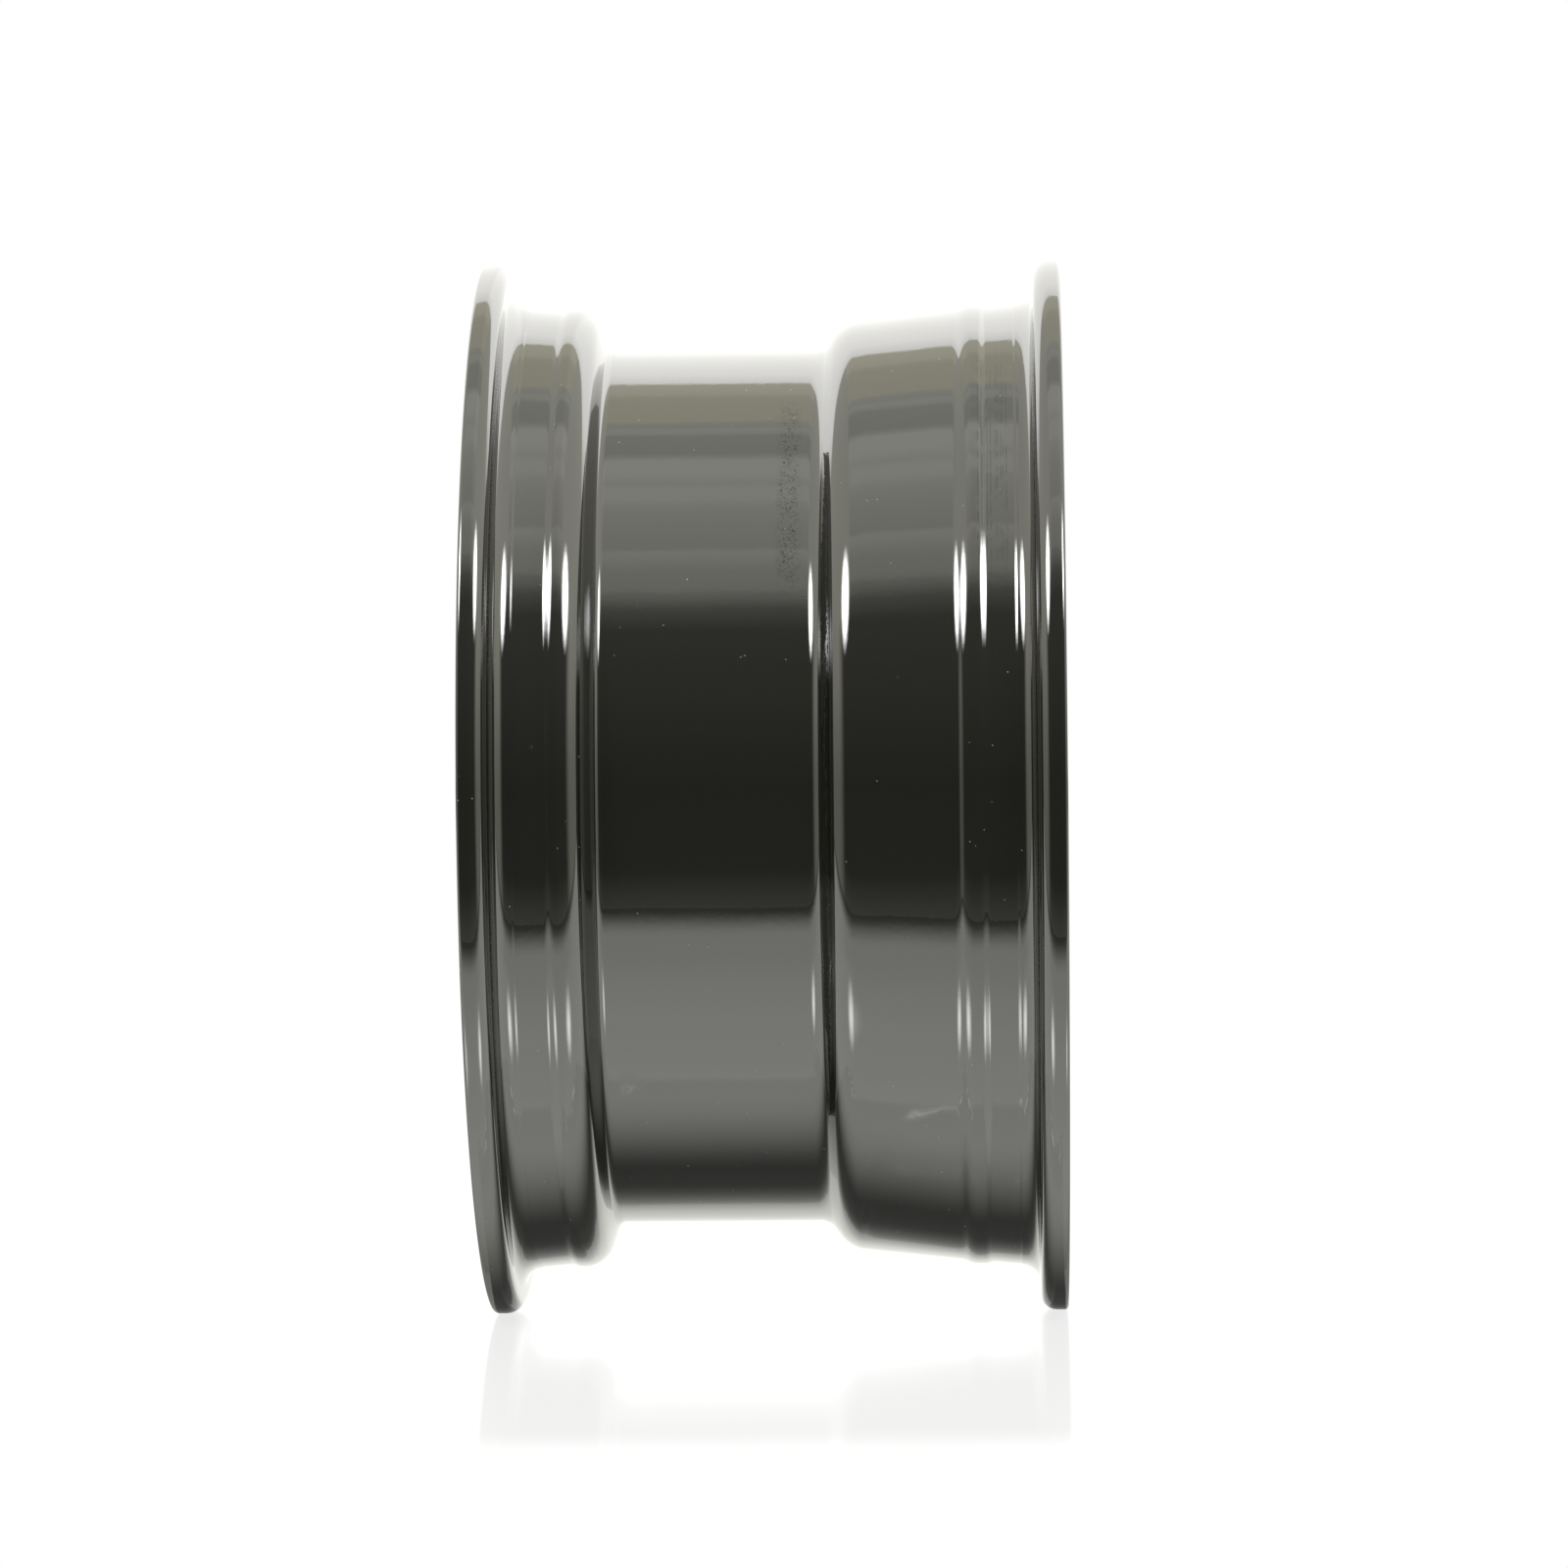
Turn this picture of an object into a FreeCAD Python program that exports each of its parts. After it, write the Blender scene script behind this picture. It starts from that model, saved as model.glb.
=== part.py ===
"""Steel car wheel, 15 inch by 8 inch with J flanges: a rolled rim and a pressed disc, welded together.

The spin axis is Y and the origin is the centre of the rim, half way between its lips.
The street side (outboard) is -Y and the vehicle side (inboard) is +Y. All lengths are millimetres.
A profile is drawn in the YZ plane as corners (y, radius, corner radius) and turned about Y.
Angles about Y are degrees from the top (+Z) towards +X.
"""
import FreeCAD, Part
import math
import os
from FreeCAD import Vector

# Rim: bead seats and flanges
rim_sheet = 3.0            # wall of the rolled strip
bead_diameter = 380.2      # at the foot of the flanges, for a 15 inch tyre
rim_width = 203.2          # between the flange faces, 8 inches
flange_height = 17.3       # J flange, above the bead diameter
flange_radius = 6.5        # curl of the flange, on the tyre's side
lip_reach = 11.0           # flange face to the end of the lip
lip_round = 1.4            # rounded edges of the lip
outboard_seat_width = 19.8
inboard_seat_width = 18.4
seat_taper = 5.0           # degrees
seat_fillet = 6.5

# Rim: safety humps inside the bead seats
hump_height = 1.1
hump_rise = 2.2            # length along Y of the rise from the seat
hump_round = 5.0
hump_valley_round = 4.0
outboard_hump_crest = 8.4
inboard_hump_crest = 5.5

# Rim: drop centre
well_depth = 18.2          # below the bead diameter
well_width = 83.0          # between the feet of its two walls
outboard_foot_round = 5.0
inboard_foot_round = 7.0
outboard_wall_run = 7.4    # length along Y of the outboard wall
inboard_wall_run = 8.0
inboard_wall_height = 10.7
shoulder_round = 12.0
ledge_to_hump = 3.7        # end of the tapered ledge to the start of the inboard hump's crest
ledge_rise = 4.9           # from the inboard shoulder to the end of the ledge
ledge_round = 7.4          # foot of the inboard hump
inboard_crest_round = 9.0

# Rim: valve hole
valve_hole_diameter = 11.3
valve_angle = 270.0

# Disc
disc_sheet = 4.5
offset = -20.0             # wheel offset: the hub face is this far outboard of the centre
weld_edge = 5.5            # Y of the edge of the disc's rim flange
crown = -38.0              # Y of the outboard face of the crown
crown_width = 21.9         # from the inside of the well to where the crown turns into the cone
crown_round = 14.0
rim_flange_round = 12.0
pad_diameter = 194.0       # where the cone meets the hub pad
pad_round = 12.0
hub_bore_diameter = 110.0
hub_bore_chamfer = 0.6

# Disc: hand holes in the cone
hand_hole_count = 8
hand_hole_diameter = 38.0
hand_hole_round = 1.4
first_hand_hole_angle = 22.5

# Disc: bolt holes with raised conical nut seats
bolt_count = 5
bolt_circle = 139.7
bolt_hole_diameter = 15.0
nut_seat_diameter = 20.0
nut_seat_angle = 60.0      # included
nut_boss_diameter = 24.0
nut_boss_base_diameter = 27.0
nut_boss_height = 2.0
first_bolt_angle = 0.0

# Welds between the rim and the edge of the disc
weld_count = 4
weld_angle = 36.0
weld_leg_on_rim = 5.0
weld_leg_on_disc = 4.0
weld_bulge = 0.6
first_weld_angle = 48.0

# Worked out from the sizes above
bead_radius = bead_diameter / 2
flange_tip_radius = bead_radius + flange_height
outboard_face = -rim_width / 2
inboard_face = rim_width / 2
outboard_toe_radius = bead_radius - outboard_seat_width * math.tan(math.radians(seat_taper))
inboard_toe_radius = bead_radius - inboard_seat_width * math.tan(math.radians(seat_taper))
outboard_hump_radius = outboard_toe_radius + hump_height
inboard_hump_radius = inboard_toe_radius + hump_height
well_radius = bead_radius - well_depth
well_inside_radius = well_radius - rim_sheet
outboard_wall_top = outboard_face + outboard_seat_width + hump_rise + outboard_hump_crest
well_start = outboard_wall_top + outboard_wall_run
well_end = well_start + well_width
shoulder = well_end + inboard_wall_run
shoulder_radius = well_radius + inboard_wall_height
inboard_crest_start = inboard_face - inboard_seat_width - hump_rise - inboard_hump_crest
ledge_end = inboard_crest_start - ledge_to_hump
ledge_end_radius = shoulder_radius + ledge_rise
crown_radius = well_inside_radius - crown_width
hub_face = -offset
pad_front = hub_face - disc_sheet

drill_length = 24.0        # of the tools that cut holes, longer than a sheet is thick
same_place = 1e-4          # points closer than this count as one
points_per_edge = 5        # tested to see if an edge lies on a hole's wall
SPIN_AXIS = Vector(0, 1, 0)
ORIGIN = Vector(0, 0, 0)


def rounded_path(corners):
    """Straight runs through the corners (y, radius, corner radius), joined by tangent arcs."""
    points = [Vector(0, y, radius) for y, radius, _ in corners]
    edges = []
    start = points[0]
    for before, corner, after, (_, _, round_) in zip(points, points[1:], points[2:], corners[1:]):
        back = (before - corner).normalize()
        ahead = (after - corner).normalize()
        half_angle = back.getAngle(ahead) / 2
        reach = round_ / math.tan(half_angle)
        arc_start = corner + back * reach
        arc_end = corner + ahead * reach
        arc_middle = corner + (back + ahead).normalize() * (round_ / math.sin(half_angle) - round_)
        edges.append(Part.LineSegment(start, arc_start).toShape())
        edges.append(Part.Arc(arc_start, arc_middle, arc_end).toShape())
        start = arc_end
    edges.append(Part.LineSegment(start, points[-1]).toShape())
    return Part.Wire(edges)


def turned_sheet(corners, thickness):
    """A sheet of even thickness, turned once about the spin axis. It lies to the right of the path."""
    section = rounded_path(corners).makeOffset2D(thickness, 0, True, True, False)
    return section.revolve(ORIGIN, SPIN_AXIS, 360)


def turned_to(shape, angle):
    """A copy of a shape drawn at the top, turned about the spin axis."""
    copy = shape.copy()
    copy.rotate(ORIGIN, SPIN_AXIS, angle)
    return copy


def around(shape, count, first):
    """Copies of a shape drawn at the top, evenly spaced about the spin axis."""
    return [turned_to(shape, first + 360.0 * i / count) for i in range(count)]


def edges_of_circle(shape, radius, y):
    """The edges of a turned shape on the circle of that radius about the spin axis, at that y."""
    found = []
    for edge in shape.Edges:
        if isinstance(edge.Curve, Part.Circle):
            off_centre = (edge.Curve.Center - Vector(0, y, 0)).Length
            off_radius = abs(edge.Curve.Radius - radius)
            if max(off_centre, off_radius) < same_place:
                found.append(edge)
    return found


def make_rim():
    """The rolled rim: two J flanges, two bead seats with humps, and the drop centre between them."""
    lip_end = lip_reach + rim_width / 2
    corners = [
        (-lip_end, flange_tip_radius, 0),
        (outboard_face, flange_tip_radius, flange_radius),
        (outboard_face, bead_radius, seat_fillet),
        (outboard_face + outboard_seat_width, outboard_toe_radius, hump_valley_round),
        (outboard_face + outboard_seat_width + hump_rise, outboard_hump_radius, hump_round),
        (outboard_wall_top, outboard_hump_radius, hump_round),
        (well_start, well_radius, outboard_foot_round),
        (well_end, well_radius, inboard_foot_round),
        (shoulder, shoulder_radius, shoulder_round),
        (ledge_end, ledge_end_radius, ledge_round),
        (inboard_crest_start, inboard_hump_radius, inboard_crest_round),
        (inboard_face - inboard_seat_width - hump_rise, inboard_hump_radius, hump_round),
        (inboard_face - inboard_seat_width, inboard_toe_radius, hump_valley_round),
        (inboard_face, bead_radius, seat_fillet),
        (inboard_face, flange_tip_radius, flange_radius),
        (lip_end, flange_tip_radius, 0),
    ]
    rim = turned_sheet(corners, rim_sheet)
    lip_edges = []
    for y in (-lip_end, lip_end):
        for radius in (flange_tip_radius, flange_tip_radius - rim_sheet):
            lip_edges += edges_of_circle(rim, radius, y)
    rim = rim.makeFillet(lip_round, lip_edges)
    return rim.cut(valve_hole())


def valve_hole():
    """The hole for the tyre valve, square to the outboard wall of the well."""
    wall = Vector(0, well_start - outboard_wall_top, well_radius - outboard_hump_radius)
    middle = Vector(0, (well_start + outboard_wall_top) / 2, (well_radius + outboard_hump_radius) / 2)
    square = Vector(0, -wall.z, wall.y).normalize()
    start = middle - square * (drill_length / 2)
    drill = Part.makeCylinder(valve_hole_diameter / 2, drill_length, start, square)
    return turned_to(drill, valve_angle)


def make_disc():
    """The pressed disc: a flange that fits the well, a crown, a cone with hand holes, and the hub pad."""
    corners = [
        (pad_front, hub_bore_diameter / 2, 0),
        (pad_front, pad_diameter / 2, pad_round),
        (crown, crown_radius, crown_round),
        (crown, well_inside_radius, rim_flange_round),
        (weld_edge, well_inside_radius, 0),
    ]
    disc = turned_sheet(corners, disc_sheet)
    bore_edges = []
    for y in (pad_front, hub_face):
        bore_edges += edges_of_circle(disc, hub_bore_diameter / 2, y)
    disc = disc.makeChamfer(hub_bore_chamfer, bore_edges)
    disc = disc.fuse(around(nut_boss(), bolt_count, first_bolt_angle))
    disc = disc.cut(around(hand_hole(), hand_hole_count, first_hand_hole_angle))
    disc = disc.makeFillet(hand_hole_round, hand_hole_edges(disc))
    return disc.cut(around(bolt_hole(), bolt_count, first_bolt_angle))


def cone_middle():
    """The middle of the outside of the disc's cone at the top, and the direction square to it."""
    pad_radius = pad_diameter / 2
    run = Vector(0, pad_front - crown, pad_radius - crown_radius)
    middle = Vector(0, (pad_front + crown) / 2, (pad_radius + crown_radius) / 2)
    return middle, Vector(0, -run.z, run.y).normalize()


def hand_hole():
    """One round hand hole, square to the cone."""
    middle, square = cone_middle()
    start = middle - square * (drill_length / 2)
    return Part.makeCylinder(hand_hole_diameter / 2, drill_length, start, square)


def hand_hole_edges(disc):
    """The two edges of each hand hole, on the two sides of the sheet."""
    holes = around(hand_hole(), hand_hole_count, first_hand_hole_angle)
    walls = [max(hole.Faces, key=lambda face: face.Area) for hole in holes]
    found = []
    for edge in disc.Edges:
        points = edge.discretize(points_per_edge)
        for wall in walls:
            if all(wall.distToShape(Part.Vertex(point))[0] < same_place for point in points):
                if not isinstance(edge.Curve, Part.Line):
                    found.append(edge)
                break
    return found


def nut_boss():
    """The raised boss round one bolt hole, on the street side of the pad."""
    base = Vector(0, pad_front, bolt_circle / 2)
    base_radius = nut_boss_base_diameter / 2
    return Part.makeCone(base_radius, nut_boss_diameter / 2, nut_boss_height, base, -SPIN_AXIS)


def bolt_hole():
    """One bolt hole with the cone that its nut seats in."""
    boss_top = pad_front - nut_boss_height
    hole_radius = bolt_hole_diameter / 2
    seat_radius = nut_seat_diameter / 2
    seat_depth = (seat_radius - hole_radius) / math.tan(math.radians(nut_seat_angle / 2))
    start = Vector(0, hub_face - drill_length / 2, bolt_circle / 2)
    hole = Part.makeCylinder(hole_radius, drill_length, start, SPIN_AXIS)
    mouth = Vector(0, boss_top, bolt_circle / 2)
    seat = Part.makeCone(seat_radius, hole_radius, seat_depth, mouth, SPIN_AXIS)
    return hole.fuse(seat)


def make_weld_beads():
    """Fillet welds in the corner between the inside of the well and the edge of the disc."""
    root = Vector(0, weld_edge, well_inside_radius)
    rim_toe = root + Vector(0, weld_leg_on_rim, 0)
    disc_toe = root - Vector(0, 0, weld_leg_on_disc)
    out_of_corner = Vector(0, weld_leg_on_disc, -weld_leg_on_rim).normalize()
    face_middle = (rim_toe + disc_toe) / 2 + out_of_corner * weld_bulge
    section = Part.Face(Part.Wire([
        Part.LineSegment(root, rim_toe).toShape(),
        Part.Arc(rim_toe, face_middle, disc_toe).toShape(),
        Part.LineSegment(disc_toe, root).toShape(),
    ]))
    bead = turned_to(section, -weld_angle / 2).revolve(ORIGIN, SPIN_AXIS, weld_angle)
    return Part.makeCompound(around(bead, weld_count, first_weld_angle))


def main():
    pieces = {
        "rim": make_rim(),
        "wheel_disc": make_disc(),
        "weld_beads": make_weld_beads(),
    }
    os.makedirs("parts", exist_ok=True)
    for name, shape in pieces.items():
        box = shape.BoundBox
        print(f"{name}: {len(shape.Solids)} solid(s), valid {shape.isValid()}, {shape.Volume:.0f} mm3, "
              f"{box.XLength:.1f} x {box.YLength:.1f} x {box.ZLength:.1f} mm")
        shape.exportStep(f"parts/{name}.step")


if __name__ == "__main__":
    main()
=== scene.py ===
# %% [markdown]
# # A black steel car wheel
# The wheel is two pieces of painted steel: a rolled rim and a pressed disc, joined by four welds.
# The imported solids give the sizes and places. This lesson turns the rim's profile, with a few finer
# bends, into a finer mesh, because a mirror-like paint shows every facet of a coarse one. The disc
# and the welds stay as they are packed.

# %% Load the solids
import math

import bmesh
import bpy
from mathutils import Matrix, Vector


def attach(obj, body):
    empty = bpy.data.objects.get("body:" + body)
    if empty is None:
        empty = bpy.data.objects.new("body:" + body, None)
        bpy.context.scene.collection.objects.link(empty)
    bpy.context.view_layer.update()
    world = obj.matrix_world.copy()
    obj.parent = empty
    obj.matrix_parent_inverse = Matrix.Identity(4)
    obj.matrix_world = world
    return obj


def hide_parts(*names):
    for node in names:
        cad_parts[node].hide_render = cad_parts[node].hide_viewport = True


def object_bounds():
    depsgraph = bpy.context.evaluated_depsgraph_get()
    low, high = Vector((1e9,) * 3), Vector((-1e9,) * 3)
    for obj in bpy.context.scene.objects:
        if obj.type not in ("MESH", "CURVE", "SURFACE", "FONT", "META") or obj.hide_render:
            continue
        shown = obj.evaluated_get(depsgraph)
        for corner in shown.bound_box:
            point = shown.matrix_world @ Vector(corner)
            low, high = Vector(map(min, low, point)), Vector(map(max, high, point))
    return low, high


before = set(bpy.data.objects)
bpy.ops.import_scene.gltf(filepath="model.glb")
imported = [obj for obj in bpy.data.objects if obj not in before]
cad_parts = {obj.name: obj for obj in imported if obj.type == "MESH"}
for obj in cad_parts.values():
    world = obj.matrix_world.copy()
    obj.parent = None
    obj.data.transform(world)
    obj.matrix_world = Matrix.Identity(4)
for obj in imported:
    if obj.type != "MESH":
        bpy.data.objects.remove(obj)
solid_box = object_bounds()
scene = bpy.context.scene
scene.view_settings.view_transform = "Standard"
mm = 0.001
print("solids:", sorted(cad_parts), "box:", [tuple(round(c, 4) for c in corner) for corner in solid_box])

# %% [markdown]
# ## Camera
# The photograph was taken square to the side of the wheel with a long lens, a little towards the
# vehicle side, and tilted by half a degree. The wheel's centre is almost in the middle of the frame.
# The camera's place is given, and its three axes are the columns of a matrix.

# %% Camera
camera_place = Vector((2.928, 0.0872, 0.006))
looked_at = Vector((0.0, 0.0023, 0.0004))
camera_tilt = 0.0092
frame_pixels = 1600
focal_pixels = 7567

camera = bpy.data.objects.new("camera", bpy.data.cameras.new("camera"))
scene.collection.objects.link(camera)
ahead = (looked_at - camera_place).normalized()
level_right = ahead.cross(Vector((0, 0, 1))).normalized()
level_up = level_right.cross(ahead)
right = level_right * math.cos(camera_tilt) - level_up * math.sin(camera_tilt)
up = level_up * math.cos(camera_tilt) + level_right * math.sin(camera_tilt)
camera.matrix_world = Matrix.Translation(camera_place) @ Matrix((right, up, -ahead)).transposed().to_4x4()
camera.data.sensor_width = 36.0
camera.data.lens = camera.data.sensor_width * focal_pixels / frame_pixels
camera.data.clip_end = 50
scene.camera = camera
print("camera lens:", round(camera.data.lens, 1), "mm")

# %% [markdown]
# ## Helpers for node trees
# A material or a world is a small graph. These helpers add a node, set its sockets and link it,
# so that each finish below reads as a list of steps.


# %% Node helpers
def add_node(tree, kind, settings=None, **inputs):
    """Adds a node. Settings are its own properties; inputs are sockets, by name or as i0, i1 and so on."""
    node = tree.nodes.new(kind)
    for name, value in (settings or {}).items():
        setattr(node, name, value)
    for name, value in inputs.items():
        index = name[1:]
        socket = node.inputs[int(index)] if name[0] == "i" and index.isdigit() else node.inputs[name]
        if isinstance(value, bpy.types.NodeSocket):
            tree.links.new(value, socket)
        else:
            socket.default_value = value
    return node


def maths(tree, operation, *values, clamp=False):
    """A Math node's result."""
    inputs = {f"i{i}": value for i, value in enumerate(values)}
    node = add_node(tree, "ShaderNodeMath", {"operation": operation, "use_clamp": clamp}, **inputs)
    return node.outputs[0]


def ramp_up(tree, value, low, high):
    """0 below low, 1 above high, and smooth between them. With low above high it falls instead."""
    node = add_node(
        tree, "ShaderNodeMapRange", {"interpolation_type": "SMOOTHSTEP", "clamp": True},
        i0=value, i1=low, i2=high, i3=0.0, i4=1.0,
    )
    return node.outputs[0]


def between(tree, value, low, high, edge):
    """1 between low and high, with soft edges of that width."""
    rise = ramp_up(tree, value, low, low + edge)
    fall = ramp_up(tree, value, high, high - edge)
    return maths(tree, "MULTIPLY", rise, fall)


# %% [markdown]
# ## The studio
# Gloss paint is only as good as what it mirrors. The photograph shows a dark room behind the camera,
# a grey ceiling with warm sides, a bright back wall, two soft boxes in front and a white table whose
# front edge is close to the wheel. A world that is coloured by direction gives the room with no
# objects. The camera itself sees plain white there.

# %% Studio world
plain_tint = (1.0, 1.015, 0.91)
warm_tint = (1.02, 0.985, 0.79)
side_tint = (1.005, 0.99, 0.87)
white_tint = (1.0, 0.993, 0.955)
# Brightness round the wheel, by degrees from the camera's side (0) over the top (90) to the back (180)
room = [
    (-180, 0.60), (-36, 0.22), (-22, 0.06), (0, 0.05), (41, 0.11), (47.2, 0.26), (48.4, 0.41), (50.4, 0.50),
    (52.4, 0.70), (57.5, 0.74), (63.6, 0.95), (64.4, 0.79), (72.5, 0.86), (78.2, 0.95), (80, 1.06),
    (84, 1.08), (85.2, 0.97), (89, 1.10), (94.5, 1.08), (96.4, 0.76), (104.2, 0.77), (106.4, 1.02),
    (107.6, 0.87), (109.6, 0.88), (110.8, 1.05), (123.2, 0.99), (124.8, 1.14), (130.8, 1.16), (132.2, 2.2),
    (138, 2.42), (154, 2.1), (180, 1.5),
]
warm_part = (110, 131)
# The whole room is raised a little, and its right side, past a soft edge, a little more
room_gain = 1.04
right_gain = 0.10
right_edge = (0.06, 0.14)
# Warm side walls: their brightness low down and high up, where it rises, and how far to the side
# they start. Overhead they start close to the middle, beside a narrow grey panel.
side_low = 0.48
side_high = 0.97
side_rise = (-0.05, 0.55)
side_start = (0.62, 0.86)
panel_edge = (0.27, 0.33)
overhead_from = (44, 56)
overhead_to = (133, 130)

world = bpy.data.worlds.new("studio")
scene.world = world
world.use_nodes = True
tree = world.node_tree
tree.nodes.clear()
looked_along = add_node(tree, "ShaderNodeTexCoord").outputs["Generated"]
direction = add_node(tree, "ShaderNodeSeparateXYZ", i0=looked_along)
turn = maths(tree, "ARCTAN2", direction.outputs["Z"], direction.outputs["X"])
share = maths(tree, "ADD", maths(tree, "DIVIDE", turn, math.tau), 0.5)
room_ramp = add_node(tree, "ShaderNodeValToRGB", i0=share)
stops = room_ramp.color_ramp.elements
brightest = max(level for _, level in room)
while len(stops) < len(room):
    stops.new(0.5)
for stop, (degrees, level) in zip(stops, room):
    tint = white_tint if degrees > warm_part[1] else warm_tint if degrees > warm_part[0] else plain_tint
    stop.position = degrees / 360 + 0.5
    stop.color = tuple(level / brightest * part for part in tint) + (1.0,)
off_middle = maths(tree, "ABSOLUTE", direction.outputs["Y"])
overhead_ends = [
    ramp_up(tree, turn, *(math.radians(d) for d in ends)) for ends in (overhead_from, overhead_to)
]
overhead = maths(tree, "MULTIPLY", *overhead_ends)
beside_panel = maths(tree, "MULTIPLY", overhead, ramp_up(tree, off_middle, *panel_edge))
sideways = maths(tree, "MAXIMUM", ramp_up(tree, off_middle, *side_start), beside_panel)
side_height = ramp_up(tree, direction.outputs["Z"], *side_rise)
low_colour, high_colour = [
    tuple(side / brightest * part for part in side_tint) + (1,) for side in (side_low, side_high)
]
mixed = {"data_type": "RGBA"}
side_wall = add_node(tree, "ShaderNodeMix", mixed, i0=side_height, i6=low_colour, i7=high_colour)
middle_colour = room_ramp.outputs["Color"]
walls = add_node(tree, "ShaderNodeMix", mixed, i0=sideways, i6=middle_colour, i7=side_wall.outputs[2])
right_of_middle = ramp_up(tree, direction.outputs["Y"], *right_edge)
room_level = maths(tree, "MULTIPLY_ADD", right_of_middle, right_gain * brightest, room_gain * brightest)
room_light = add_node(tree, "ShaderNodeBackground", Color=walls.outputs[2], Strength=room_level)
plain_white = add_node(tree, "ShaderNodeBackground", Color=(1, 1, 1, 1), Strength=1.0)
ray = add_node(tree, "ShaderNodeLightPath")
seen = add_node(
    tree, "ShaderNodeMixShader",
    i0=ray.outputs["Is Camera Ray"], i1=room_light.outputs[0], i2=plain_white.outputs[0],
)
add_node(tree, "ShaderNodeOutputWorld", Surface=seen.outputs[0])
print("studio world:", len(room), "levels, brightest", brightest)

# %% [markdown]
# ## Soft boxes
# Two large soft boxes hang in front of the wheel, left and right above the camera. A flat run of
# the profile mirrors the dark gap between them. On the bends they shrink to thin white streaks,
# which is what makes a photograph of black paint look glossy. Each box fades towards its rim.

# %% Soft boxes
box_middle = Vector((0.777, 0.570, 0.812))
box_run = Vector((-0.690, -0.111, 0.715))
box_size = (0.64, 0.64)
box_level = 24.0
box_fade = (0.95, -0.03)

for side in (-1, 1):
    across = Vector((1, side, 1))
    lamp = bpy.data.lights.new(f"soft_box_{side}", "AREA")
    lamp.shape = "ELLIPSE"
    lamp.size, lamp.size_y = box_size
    lamp.energy = box_level * math.pi * math.pi / 4 * lamp.size * lamp.size_y
    lamp.use_nodes = True
    glow = lamp.node_tree
    glow.nodes.clear()
    spot = add_node(glow, "ShaderNodeNewGeometry").outputs["Parametric"]
    from_middle = add_node(glow, "ShaderNodeVectorMath", {"operation": "DISTANCE"}, i0=spot, i1=(0.5, 0.5, 0))
    fade = ramp_up(glow, maths(glow, "MULTIPLY", from_middle.outputs["Value"], 2.0), *box_fade)
    shining = add_node(glow, "ShaderNodeEmission", Color=(1, 1, 1, 1), Strength=fade)
    add_node(glow, "ShaderNodeOutputLight", Surface=shining.outputs[0])
    run = (box_run * across).normalized()
    middle = box_middle * across
    back = (middle - run * middle.dot(run)).normalized()
    turned = Matrix((run, back.cross(run), back)).transposed().to_4x4()
    box = bpy.data.objects.new(lamp.name, lamp)
    box.matrix_world = Matrix.Translation(middle) @ turned
    box.visible_camera = False
    scene.collection.objects.link(box)
print("soft boxes:", box_size, "at", [round(c, 3) for c in box_middle])

# %% [markdown]
# ## Table
# The wheel stands on a white glossy table. The camera sees a table that mostly glows, so that it
# meets the white background with no edge. A thin gloss layer keeps the faint mirror image below the
# wheel. The paint mirrors a table whose glow is painted light in front of the wheel and behind it,
# with a painted shadow of the wheel under it. A diffuse table would darken there by itself, but it
# would also catch sparkles of the soft boxes. The front of the table is not lit, so the paint does not mirror
# it.

# %% Table
floor_height = solid_box[0].z
table_front = 0.43
unlit_front = 0.679
table_reach = 4.0
# Painted light and shade for the paint's reflections: glow levels in front of the wheel, nearer it, behind
# it, and in the painted shadow under it
painted_front_light = 0.80
painted_near_light = 0.08
painted_shadow_level = 0.10
table_lit_part = (0.052, 0.425, 0.08)
table_tint = (1.0, 1.0, 0.94, 1)
painted_back_light = 0.90
table_shade = 0.06
table_glow = 0.78
table_fade = (0.52, 0.67)
table_gloss = 0.14
table_gloss_roughness = 0.08
# Along X: where the painted light on the table grows brighter towards the wheel, and where its back part
# starts
table_near_part = (0.33, 0.15)
table_back_part = (0.034, -0.04)


def table_finish():
    finish = bpy.data.materials.new("white_table")
    finish.use_nodes = True
    nodes = finish.node_tree
    nodes.nodes.clear()
    by_camera = add_node(nodes, "ShaderNodeLightPath").outputs["Is Camera Ray"]
    shade = add_node(nodes, "ShaderNodeBsdfDiffuse", Color=(table_shade,) * 3 + (1,))
    gloss_colour = (table_gloss,) * 3 + (1,)
    gloss = add_node(nodes, "ShaderNodeBsdfGlossy", Color=gloss_colour, Roughness=table_gloss_roughness)
    here = add_node(nodes, "ShaderNodeTexCoord").outputs["Object"]
    place = add_node(nodes, "ShaderNodeSeparateXYZ", i0=here)
    to_front = ramp_up(nodes, place.outputs["X"], *table_fade)
    glow_level = maths(nodes, "MULTIPLY_ADD", to_front, 1.0 - table_glow, table_glow)
    glow = add_node(nodes, "ShaderNodeEmission", Color=(1, 1, 1, 1), Strength=glow_level)
    # What the paint mirrors is painted light set by place along X: lit in front and behind, with a painted
    # shadow under the wheel
    nearer = ramp_up(nodes, place.outputs["X"], *table_near_part)
    level = maths(nodes, "MULTIPLY_ADD", nearer, painted_near_light, painted_front_light)
    before = maths(nodes, "MULTIPLY", between(nodes, place.outputs["X"], *table_lit_part), level)
    at_back = ramp_up(nodes, place.outputs["X"], *table_back_part)
    behind = maths(nodes, "MULTIPLY", at_back, painted_back_light)
    both = maths(nodes, "ADD", before, maths(nodes, "ADD", behind, painted_shadow_level))
    lit = add_node(nodes, "ShaderNodeEmission", Color=table_tint, Strength=both)
    glowing = add_node(nodes, "ShaderNodeAddShader", i0=shade.outputs[0], i1=glow.outputs[0])
    white = add_node(nodes, "ShaderNodeMixShader", i0=by_camera, i1=lit.outputs[0], i2=glowing.outputs[0])
    surface = add_node(nodes, "ShaderNodeAddShader", i0=white.outputs[0], i1=gloss.outputs[0])
    add_node(nodes, "ShaderNodeOutputMaterial", Surface=surface.outputs[0])
    return finish


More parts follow.
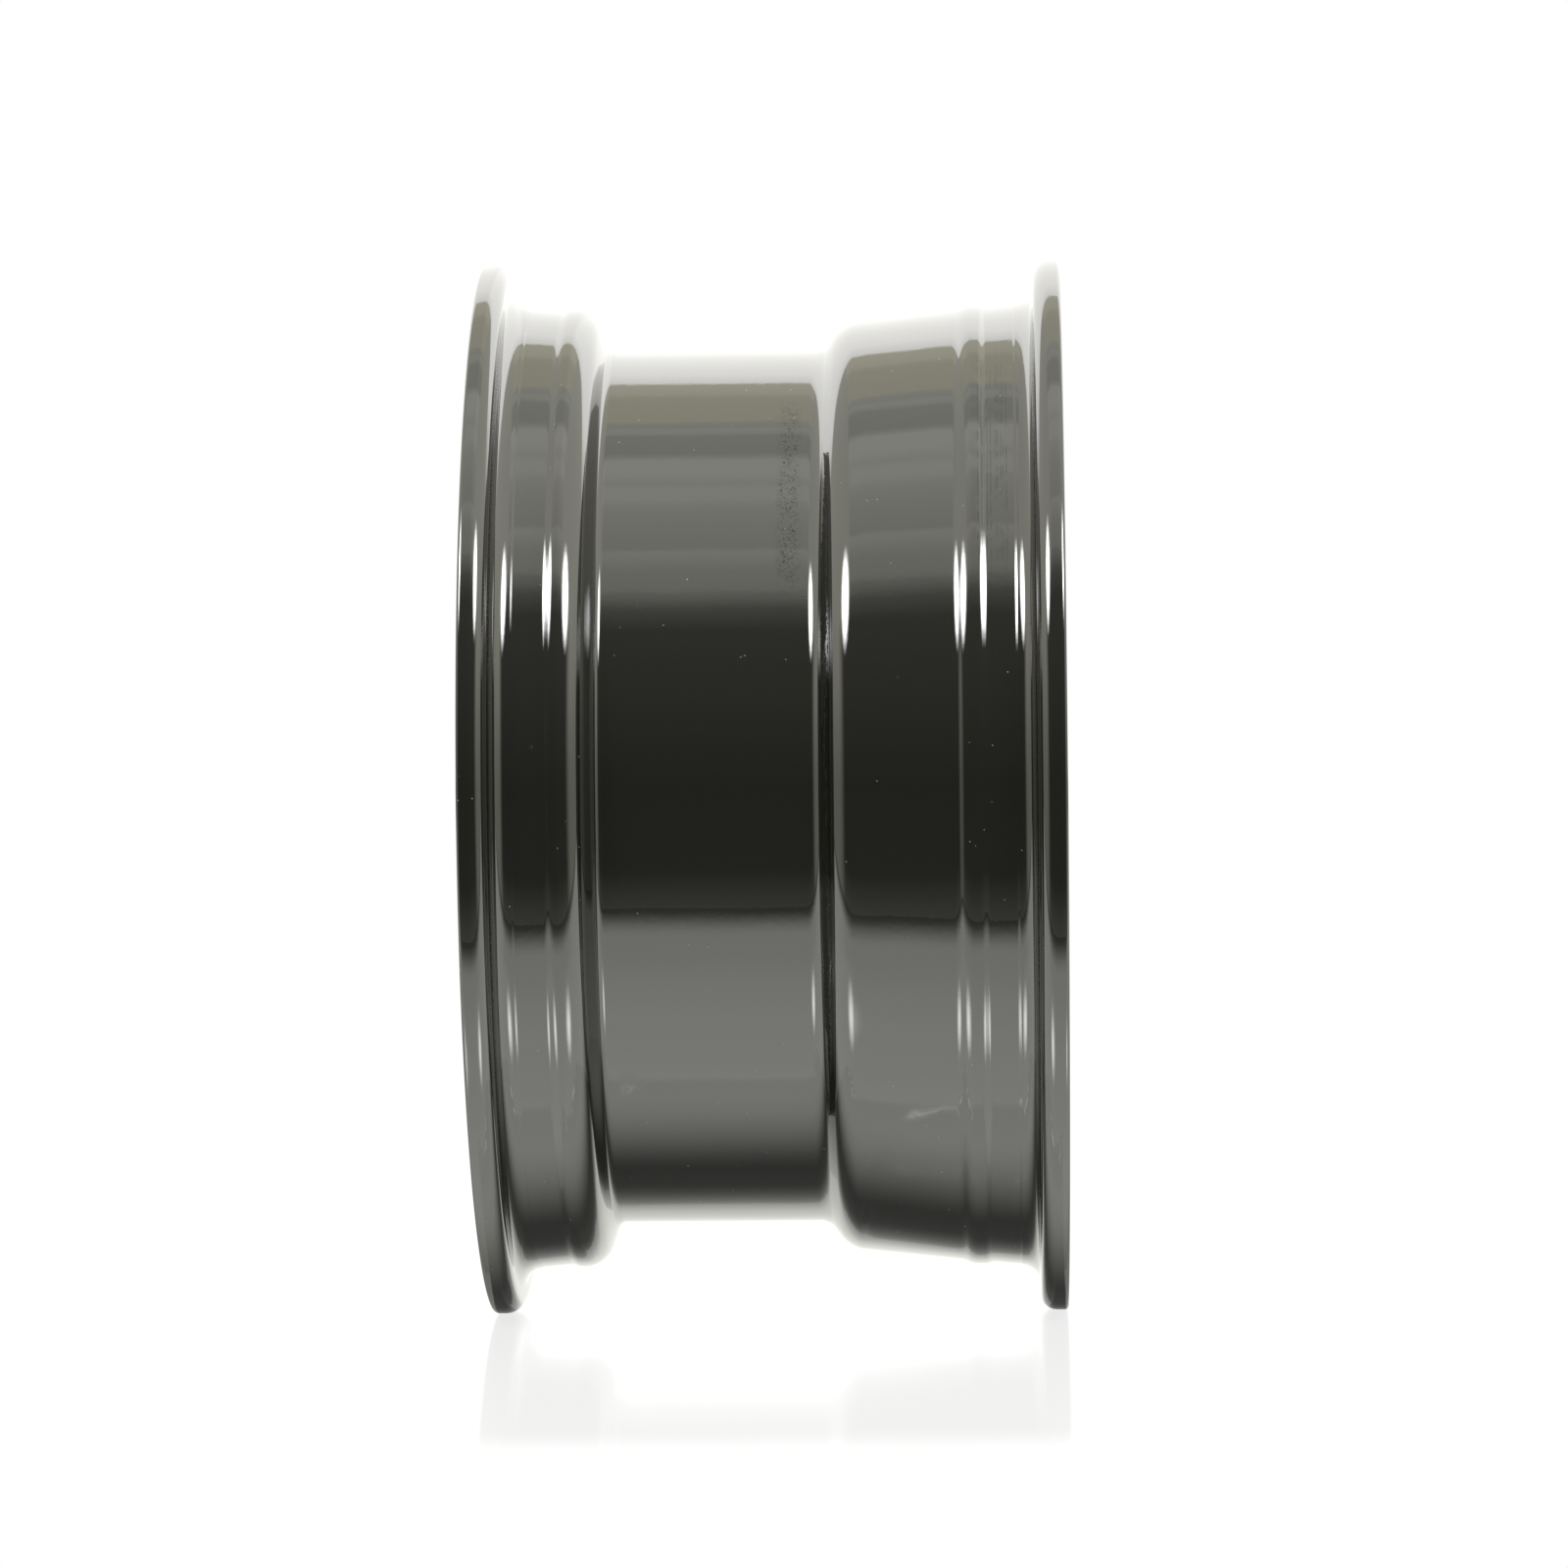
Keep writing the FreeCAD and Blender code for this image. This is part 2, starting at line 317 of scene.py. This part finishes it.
def flat_sheet(name, x_from, x_to, finish):
    mesh = bmesh.new()
    bmesh.ops.create_grid(mesh, x_segments=1, y_segments=1, size=1.0)
    bmesh.ops.scale(mesh, vec=((x_to - x_from) / 2, table_reach, 1), verts=mesh.verts)
    bmesh.ops.translate(mesh, vec=((x_from + x_to) / 2, 0, floor_height), verts=mesh.verts)
    sheet = bpy.data.objects.new(name, bpy.data.meshes.new(name))
    mesh.to_mesh(sheet.data)
    mesh.free()
    sheet.data.materials.append(finish)
    scene.collection.objects.link(sheet)
    return sheet


white_table = table_finish()
flat_sheet("table", -table_reach, table_front, white_table)
unlit = flat_sheet("table_unlit_front", table_front, unlit_front, white_table)
unlit.visible_glossy = False
unlit.visible_diffuse = False
print("table at height", round(floor_height, 4))

# %% [markdown]
# ## Black gloss paint
# The wheel is dipped and stoved in black enamel. It is almost black, mirrors sharply, has a faint
# orange peel, and carries a few dust grains. The refractive index is high, because the photograph
# is exposed for the dark paint. Where one of the welds is inside, the heat has marked the paint in a
# band of dull wrinkles, and the rolls have left broken rings on the bead seat of the vehicle side.

# %% Paint
paint_colour = (0.0090, 0.0093, 0.0073, 1)
dust_colour = (0.50, 0.49, 0.45, 1)
paint_roughness = 0.014
mark_roughness = 0.22
paint_index = 2.3
full_gloss = 0.5
mark_gloss = 0.08
first_weld = math.radians(48)
weld_angle = math.radians(36)
# Peel, slow waves and dust grains: how fine they are, and how high
peel_scale = 330.0
peel_height = 0.000010
wave_scale = 28.0
wave_height = 0.00010
grain_scale = 260.0
grain_edge = (0.060, 0.030)
grain_choice = 0.82
grain_height = 0.00006
# Heat marks: the band along the weld, the radius of the well's outer side, and the wrinkles
heat_strength = 0.65
band_middle = 0.0088
band_half_width = 0.0058
band_fade = 0.0040
band_end_fade = 0.08
well_skin = (0.1705, 0.1712)
wrinkle_scale = 950.0
wrinkle_bend = 1.5
wrinkle_part = (0.53, 0.62)
# Rolling marks: where they are along Y and in height, the lines, and what breaks them
ring_strength = 0.35
ring_zone = (0.0775, 0.0920)
ring_zone_fade = 0.001
ring_heights = (0.065, 0.175)
ring_height_fade = 0.03
ring_scale = 1500.0
ring_part = (0.50, 0.58)
break_scale = 190.0
break_part = (0.38, 0.58)


def heat_marks(nodes, place, axes):
    """Short dark wrinkles in a band outside one weld, only on the outer side of the well."""
    angle = maths(nodes, "ARCTAN2", axes.outputs["X"], axes.outputs["Z"])
    along = between(nodes, angle, first_weld - weld_angle / 2, first_weld + weld_angle / 2, band_end_fade)
    band_sides = (band_middle - band_half_width, band_middle + band_half_width)
    across = between(nodes, axes.outputs["Y"], *band_sides, band_fade)
    flat = add_node(nodes, "ShaderNodeCombineXYZ", X=axes.outputs["X"], Y=axes.outputs["Z"])
    radius = add_node(nodes, "ShaderNodeVectorMath", {"operation": "LENGTH"}, i0=flat.outputs[0])
    outside = ramp_up(nodes, radius.outputs["Value"], *well_skin)
    band = heat_strength
    for mask in (along, across, outside):
        band = maths(nodes, "MULTIPLY", band, mask)
    wrinkles = add_node(
        nodes, "ShaderNodeTexNoise", Vector=place, Scale=wrinkle_scale, Detail=2.0, Distortion=wrinkle_bend
    )
    return maths(nodes, "MULTIPLY", band, ramp_up(nodes, wrinkles.outputs[0], *wrinkle_part))


def ring_marks(nodes, place, axes):
    """Broken dark lines on the upper part of the inboard bead seat, left by the rolls."""
    lines = add_node(
        nodes, "ShaderNodeTexNoise", {"noise_dimensions": "1D"},
        W=axes.outputs["Y"], Scale=ring_scale, Detail=1.0,
    )
    breaks = add_node(nodes, "ShaderNodeTexNoise", Vector=place, Scale=break_scale, Detail=3.0)
    rolled = ramp_up(nodes, lines.outputs[0], *ring_part)
    upper_part = between(nodes, axes.outputs["Z"], *ring_heights, ring_height_fade)
    for mask in (ramp_up(nodes, breaks.outputs[0], *break_part), upper_part, ring_strength):
        rolled = maths(nodes, "MULTIPLY", rolled, mask)
    on_seat = between(nodes, axes.outputs["Y"], *ring_zone, ring_zone_fade)
    return maths(nodes, "MULTIPLY", rolled, on_seat)


def paint_finish(name, marked=False):
    finish = bpy.data.materials.new(name)
    finish.use_nodes = True
    nodes = finish.node_tree
    nodes.nodes.clear()
    place = add_node(nodes, "ShaderNodeTexCoord").outputs["Object"]

    peel = add_node(nodes, "ShaderNodeTexNoise", Vector=place, Scale=peel_scale, Detail=1.0)
    waves = add_node(nodes, "ShaderNodeTexNoise", Vector=place, Scale=wave_scale, Detail=1.0)
    bump = add_node(nodes, "ShaderNodeBump", Strength=1.0, Distance=peel_height, Height=peel.outputs[0])
    bump = add_node(
        nodes, "ShaderNodeBump",
        Strength=1.0, Distance=wave_height, Height=waves.outputs[0], Normal=bump.outputs[0],
    )
    grains = add_node(nodes, "ShaderNodeTexVoronoi", Vector=place, Scale=grain_scale)
    chosen = add_node(nodes, "ShaderNodeSeparateColor", i0=grains.outputs["Color"])
    near = ramp_up(nodes, grains.outputs["Distance"], *grain_edge)
    dust = maths(nodes, "MULTIPLY", near, maths(nodes, "GREATER_THAN", chosen.outputs[0], grain_choice))
    bump = add_node(
        nodes, "ShaderNodeBump", Strength=1.0, Distance=grain_height, Height=dust, Normal=bump.outputs[0]
    )

    dull = dust
    if marked:
        axes = add_node(nodes, "ShaderNodeSeparateXYZ", i0=place)
        marks = maths(nodes, "MAXIMUM", heat_marks(nodes, place, axes), ring_marks(nodes, place, axes))
        dull = maths(nodes, "MAXIMUM", dust, marks)
    colour = add_node(nodes, "ShaderNodeMix", {"data_type": "RGBA"}, i0=dust, i6=paint_colour, i7=dust_colour)
    number = {"data_type": "FLOAT"}
    roughness = add_node(nodes, "ShaderNodeMix", number, i0=dull, i2=paint_roughness, i3=mark_roughness)
    paint = add_node(nodes, "ShaderNodeBsdfPrincipled", Normal=bump.outputs[0], IOR=paint_index)
    nodes.links.new(colour.outputs[2], paint.inputs["Base Color"])
    nodes.links.new(roughness.outputs[0], paint.inputs["Roughness"])
    if marked:
        gloss = add_node(nodes, "ShaderNodeMix", number, i0=marks, i2=full_gloss, i3=mark_gloss)
        nodes.links.new(gloss.outputs[0], paint.inputs["Specular IOR Level"])
    add_node(nodes, "ShaderNodeOutputMaterial", Surface=paint.outputs[0])
    return finish


rim_paint = paint_finish("black_rim_paint", marked=True)
disc_paint = paint_finish("black_disc_paint")
weld_paint = paint_finish("black_weld_paint")
print("paints:", rim_paint.name, disc_paint.name, weld_paint.name)

# %% [markdown]
# ## Turning a profile
# The rim is sheet metal turned about the spin axis. Its profile starts as a few corner
# points joined by edges. A vertex bevel rounds each corner, the long runs are divided so that
# the shading stays flat along them, and a spin about Y makes the skin. Solidify then gives the
# sheet its thickness. Drawing every arc point by hand would give the same shape with far more code.

# %% Profile helpers
steps_round = 256
arc_pieces = 6
longest_run = 6.0 * mm
shortest_edge = 0.01 * mm
merge_gap = 1e-6
ring_tolerance = 0.05
sharp_angle = math.radians(40)


def turned_sheet(corners, thickness):
    """A sheet of even thickness, right of its path. Corners are (y, radius, corner radius) in mm."""
    mesh = bmesh.new()
    points = [mesh.verts.new((0, y * mm, radius * mm)) for y, radius, _ in corners]
    for start, end in zip(points, points[1:]):
        mesh.edges.new((start, end))
    reaches = []
    for before, corner, after, (_, _, rounding) in zip(points, points[1:], points[2:], corners[1:]):
        half_angle = (before.co - corner.co).angle(after.co - corner.co) / 2
        reaches.append((corner, rounding * mm / math.tan(half_angle)))
    for corner, reach in reaches:
        bmesh.ops.bevel(
            mesh, geom=[corner], offset=reach, offset_type="OFFSET", segments=arc_pieces,
            profile=0.5, affect="VERTICES", material=-1,
        )
    for edge in [e for e in mesh.edges if e.calc_length() > longest_run]:
        cuts = math.ceil(edge.calc_length() / longest_run) - 1
        bmesh.ops.subdivide_edges(mesh, edges=[edge], cuts=cuts)
    bmesh.ops.spin(
        mesh, geom=mesh.verts[:] + mesh.edges[:], cent=(0, 0, 0), axis=(0, 1, 0),
        dvec=(0, 0, 0), angle=math.tau, steps=steps_round, use_merge=True,
    )
    bmesh.ops.remove_doubles(mesh, verts=mesh.verts, dist=merge_gap)
    bmesh.ops.recalc_face_normals(mesh, faces=mesh.faces)
    bmesh.ops.solidify(mesh, geom=mesh.faces[:], thickness=thickness * mm)
    return mesh


def ring_edges(mesh, y, radii):
    """The edges of the rings at that y with one of those radii, in mm."""
    found = []
    for edge in mesh.edges:
        end_radii = [math.hypot(v.co.x, v.co.z) / mm for v in edge.verts]
        on_ring = any(all(abs(r - radius) < ring_tolerance for r in end_radii) for radius in radii)
        if on_ring and all(abs(v.co.y / mm - y) < ring_tolerance for v in edge.verts):
            found.append(edge)
    return found


def cut_with(piece, mesh):
    """Cuts a closed mesh out of a piece, and keeps only the result."""
    tool = bpy.data.objects.new("tool", bpy.data.meshes.new("tool"))
    mesh.to_mesh(tool.data)
    mesh.free()
    scene.collection.objects.link(tool)
    cut = piece.modifiers.new("cut", "BOOLEAN")
    cut.object = tool
    cut.solver = "EXACT"
    result = bpy.data.meshes.new_from_object(piece.evaluated_get(bpy.context.evaluated_depsgraph_get()))
    piece.modifiers.clear()
    tidy = bmesh.new()
    tidy.from_mesh(result)
    bmesh.ops.dissolve_degenerate(tidy, dist=shortest_edge, edges=tidy.edges)
    tidy.to_mesh(result)
    tidy.free()
    piece.data = result
    result.name = piece.name
    bpy.data.objects.remove(tool)


def make_piece(name, mesh, finish, node):
    """Turns a bmesh into a smooth piece that stands for a CAD node."""
    piece = bpy.data.objects.new(name, bpy.data.meshes.new(name))
    mesh.to_mesh(piece.data)
    mesh.free()
    piece.data.shade_smooth()
    piece.data.set_sharp_from_angle(angle=sharp_angle)
    piece.data.materials.append(finish)
    scene.collection.objects.link(piece)
    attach(piece, "root")
    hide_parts(node)
    return piece


# %% [markdown]
# ## Rim
# The rim is rolled from strip: a J flange, a tapered bead seat and a safety hump on each side, the
# drop centre, and the long ledge on the vehicle side. Its edge is rounded where the strip was cut.
# A fine step on each bead seat shows where a roll ended. The valve hole is drilled square to the
# outboard wall with a Boolean, because no bmesh operator cuts a round hole into a turned skin.

# %% Rim
rim_sheet = 3.0
tip_radius = 207.4
bead_radius = 190.1
seat_taper = math.tan(math.radians(5))
well_radius = 171.9
lip_end = 112.6
face = 101.6
lip_round = 1.4
lip_pieces = 5
flange_round = 6.5
step_round = 1.2
toe_round = 4.0
hump_round = 5.0
outboard_hump_height = 1.0
inboard_hump_height = 0.78


def seat_radius(y):
    return bead_radius - (face - abs(y)) * seat_taper


outboard_toe = (-81.8, seat_radius(81.8))
inboard_toe = (83.4, seat_radius(83.4))
outboard_hump = outboard_toe[1] + outboard_hump_height
inboard_hump = inboard_toe[1] + inboard_hump_height
outboard_step = 0.18
inboard_step = 0.26

rim_mesh = turned_sheet([
    (-lip_end, tip_radius, 0),
    (-face, tip_radius, flange_round),
    (-face, bead_radius + outboard_step, 8.0),
    (-94.0, seat_radius(94.0) + outboard_step, step_round),
    (-93.1, seat_radius(93.1), step_round),
    (*outboard_toe, toe_round),
    (-79.0, outboard_hump, hump_round),
    (-68.94, outboard_hump, 11.0),
    (-63.24, well_radius, 3.5),
    (19.2, well_radius, 7.0),
    (27.2, 182.6, 12.0),
    (71.8, 187.5, 7.4),
    (75.5, inboard_hump, 9.0),
    (80.9, inboard_hump, hump_round),
    (*inboard_toe, toe_round),
    (93.8, seat_radius(93.8), step_round),
    (94.8, seat_radius(94.8) + inboard_step, step_round),
    (face, bead_radius + inboard_step, 7.2),
    (face, tip_radius, flange_round),
    (lip_end, tip_radius, 0),
], rim_sheet)
for lip in (-lip_end, lip_end):
    lip_edges = ring_edges(rim_mesh, lip, (tip_radius, tip_radius - rim_sheet))
    bmesh.ops.bevel(
        rim_mesh, geom=lip_edges, offset=lip_round * mm, offset_type="OFFSET", segments=lip_pieces,
        profile=0.5, affect="EDGES", material=-1,
    )
print("rim mesh:", len(rim_mesh.faces), "faces")
rim = make_piece("rim_painted", rim_mesh, rim_paint, "rim")

valve_radius = 5.65 * mm
valve_place = Vector((-180.102, -68.882, 0)) * mm
valve_axis = Vector((-0.388193, 0.921578, 0))
drill_sides = 64
drill_depth = 24 * mm
drill_mesh = bmesh.new()
bmesh.ops.create_cone(
    drill_mesh, cap_ends=True, segments=drill_sides,
    radius1=valve_radius, radius2=valve_radius, depth=drill_depth,
)
drill_turn = valve_axis.to_track_quat("Z", "X").to_matrix()
bmesh.ops.rotate(drill_mesh, cent=(0, 0, 0), matrix=drill_turn, verts=drill_mesh.verts)
bmesh.ops.translate(drill_mesh, vec=valve_place, verts=drill_mesh.verts)
cut_with(rim, drill_mesh)
print("rim box:", [tuple(round(c, 4) for c in corner) for corner in rim.bound_box][::6])

# %% [markdown]
# ## Disc and welds
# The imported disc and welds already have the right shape, so they stay and only take the paint.

# %% Disc and welds
for node, finish in (("wheel_disc", disc_paint), ("weld_beads", weld_paint)):
    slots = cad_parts[node].material_slots
    for material_slot in slots:
        material_slot.material = finish
    print(node, "slots:", len(slots), "faces:", len(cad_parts[node].data.polygons))
